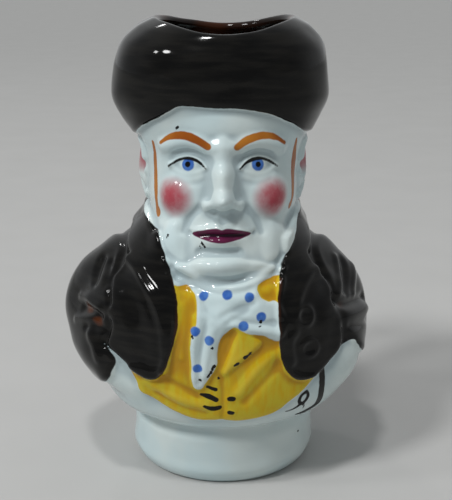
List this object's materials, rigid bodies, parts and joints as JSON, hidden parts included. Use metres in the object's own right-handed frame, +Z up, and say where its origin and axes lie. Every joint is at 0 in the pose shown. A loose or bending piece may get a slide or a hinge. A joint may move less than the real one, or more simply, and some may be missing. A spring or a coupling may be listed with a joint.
{
  "type": "toby jug",
  "caption": "Hollow glazed earthenware jug shaped as the bust of a stout man in a cocked hat and coat, open at the hat's top, with a loop handle behind and a flat foot.",
  "frame": {"origin": "centre of the flat underside of the foot", "axes": "+Z up from the underside to the hat, -Y the way the man faces, +X to the right of someone looking at the face"},
  "size_m": [0.0961, 0.0981, 0.14],
  "materials": {
    "painted_glaze": "clear gloss glaze over cool white earthenware, hand painted black-brown, ochre yellow, cobalt blue, rose and brown"
  },
  "bodies": {
    "root": {"toby_jug": "painted_glaze"}
  },
  "joints": []
}
